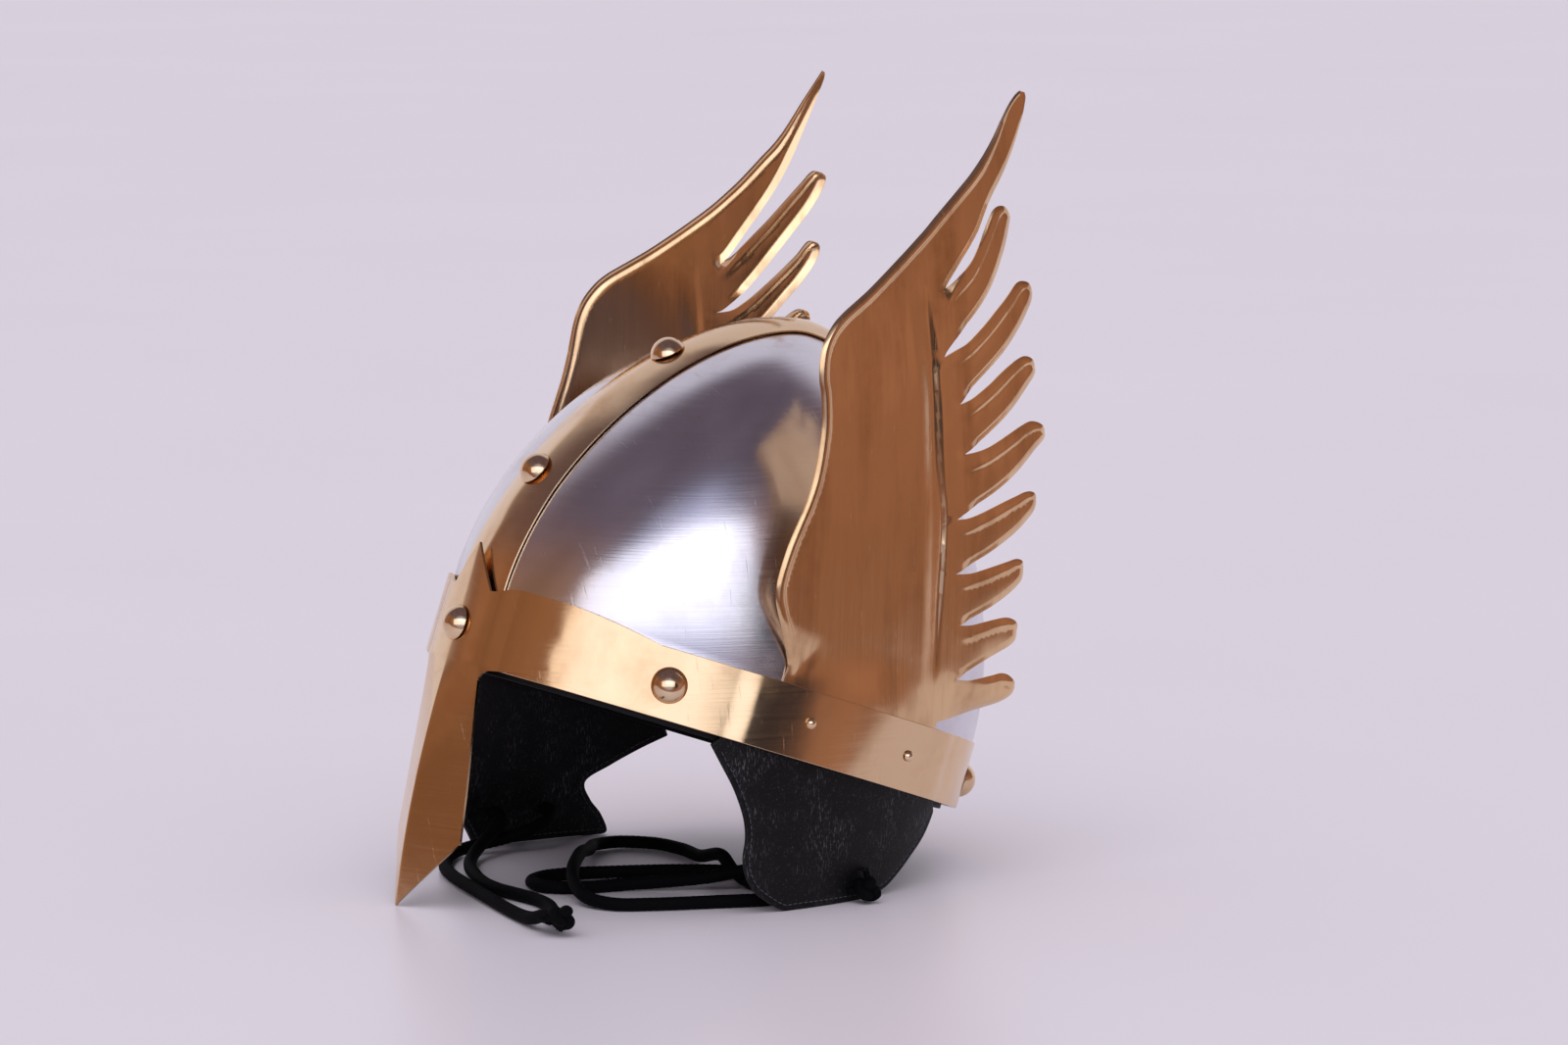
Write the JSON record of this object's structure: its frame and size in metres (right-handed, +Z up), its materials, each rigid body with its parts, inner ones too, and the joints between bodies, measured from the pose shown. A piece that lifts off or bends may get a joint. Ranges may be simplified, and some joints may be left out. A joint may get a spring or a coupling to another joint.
{
  "type": "winged helmet",
  "caption": "Polished steel helmet with brass crest band, brow band, folded nose guard, feathered side wings, leather ear flaps and chin cords",
  "frame": {"origin": "on the floor, in the middle of the standing helmet's box; the nose guard's point and the feet of both ear flaps rest at z = 0", "axes": "+X to the wearer's left, -Y to the wearer's front, +Z up; the helmet's own rim plane is pitched 19.25 degrees, front high"},
  "size_m": [0.2006, 0.2702, 0.3217],
  "materials": {
    "skull_steel": "polished sheet steel, blue-grey, fine horizontal brushing",
    "washer_steel": "plain steel washers",
    "band_brass": "polished pale brass sheet",
    "wing_brass": "polished brass sheet with raised rim and feather lines",
    "rivet_brass": "polished domed brass",
    "flap_leather": "black smooth leather, lightly scuffed",
    "liner_leather": "black lining leather",
    "cord_fabric": "black braided round cord"
  },
  "bodies": {
    "helmet": {"skull": "skull_steel", "brow_band": "band_brass", "crest_band": "band_brass", "front_plate": "band_brass", "left_wing": "wing_brass", "right_wing": "wing_brass", "nasal_rivet": "rivet_brass", "crest_rivets": "rivet_brass", "side_rivets": "rivet_brass", "rear_rivets": "rivet_brass", "left_wing_rivets": "rivet_brass", "right_wing_rivets": "rivet_brass", "rivet_washers": "washer_steel", "sweatband": "liner_leather", "liner_leaf_1": "liner_leather", "liner_leaf_2": "liner_leather", "liner_leaf_3": "liner_leather", "liner_leaf_4": "liner_leather", "liner_leaf_5": "liner_leather", "liner_leaf_6": "liner_leather", "liner_leaf_7": "liner_leather", "liner_leaf_8": "liner_leather", "crown_lace": "liner_leather", "left_flap_root": "flap_leather", "right_flap_root": "flap_leather"},
    "left_flap_body": {"left_flap": "flap_leather", "left_cord": "cord_fabric", "left_knot": "cord_fabric"},
    "right_flap_body": {"right_flap": "flap_leather", "right_cord_front": "cord_fabric", "right_cord_rear": "cord_fabric", "right_knot": "cord_fabric"}
  },
  "joints": [
    {"name": "left_flap_hinge", "type": "hinge", "parent": "helmet", "child": "left_flap_body", "pos_m": [0.09115, 0.00048, 0.05644], "axis": [0, -0.9441, 0.3297], "range_deg": [-25, 60], "stiffness_Nm_per_rad": 1.5},
    {"name": "right_flap_hinge", "type": "hinge", "parent": "helmet", "child": "right_flap_body", "pos_m": [-0.09115, 0.00048, 0.05644], "axis": [0, 0.9441, -0.3297], "range_deg": [-25, 60], "stiffness_Nm_per_rad": 1.5}
  ]
}
